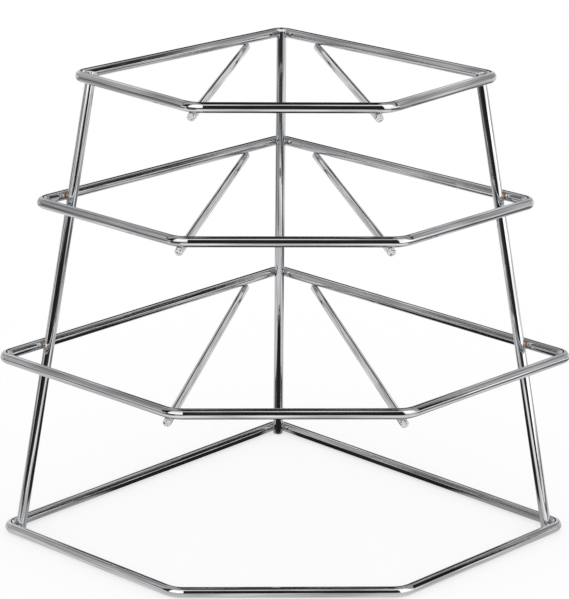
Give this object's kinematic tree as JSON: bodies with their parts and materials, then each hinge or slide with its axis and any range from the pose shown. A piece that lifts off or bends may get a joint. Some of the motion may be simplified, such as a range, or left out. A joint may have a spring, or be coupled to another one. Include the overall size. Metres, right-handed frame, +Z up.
{
  "type": "corner plate rack",
  "caption": "Tiered wire rack that fits into a right-angled corner and holds stacked plates; chromed rings shrink upwards on leaning legs, with support wires beneath.",
  "frame": {"origin": "middle of the bounding box at its bottom, where the base ring stands on the worktop", "axes": "+Z up, +Y towards the rear corner, +X to the right as seen from the front edge"},
  "size_m": [0.3502, 0.2771, 0.285],
  "materials": {
    "frame_chrome": "bright chrome plating",
    "support_chrome": "bright chrome plating",
    "weld_chrome": "plated weld metal"
  },
  "bodies": {
    "root": {"base_ring": "frame_chrome", "lower_ring": "frame_chrome", "middle_ring": "frame_chrome", "top_ring": "frame_chrome", "left_leg": "frame_chrome", "right_leg": "frame_chrome", "rear_leg": "frame_chrome", "lower_left_support": "support_chrome", "lower_right_support": "support_chrome", "middle_left_support": "support_chrome", "middle_right_support": "support_chrome", "top_left_support": "support_chrome", "top_right_support": "support_chrome", "left_leg_welds": "weld_chrome", "right_leg_welds": "weld_chrome", "rear_leg_welds": "weld_chrome", "lower_support_welds": "weld_chrome", "middle_support_welds": "weld_chrome", "top_support_welds": "weld_chrome"}
  },
  "joints": []
}
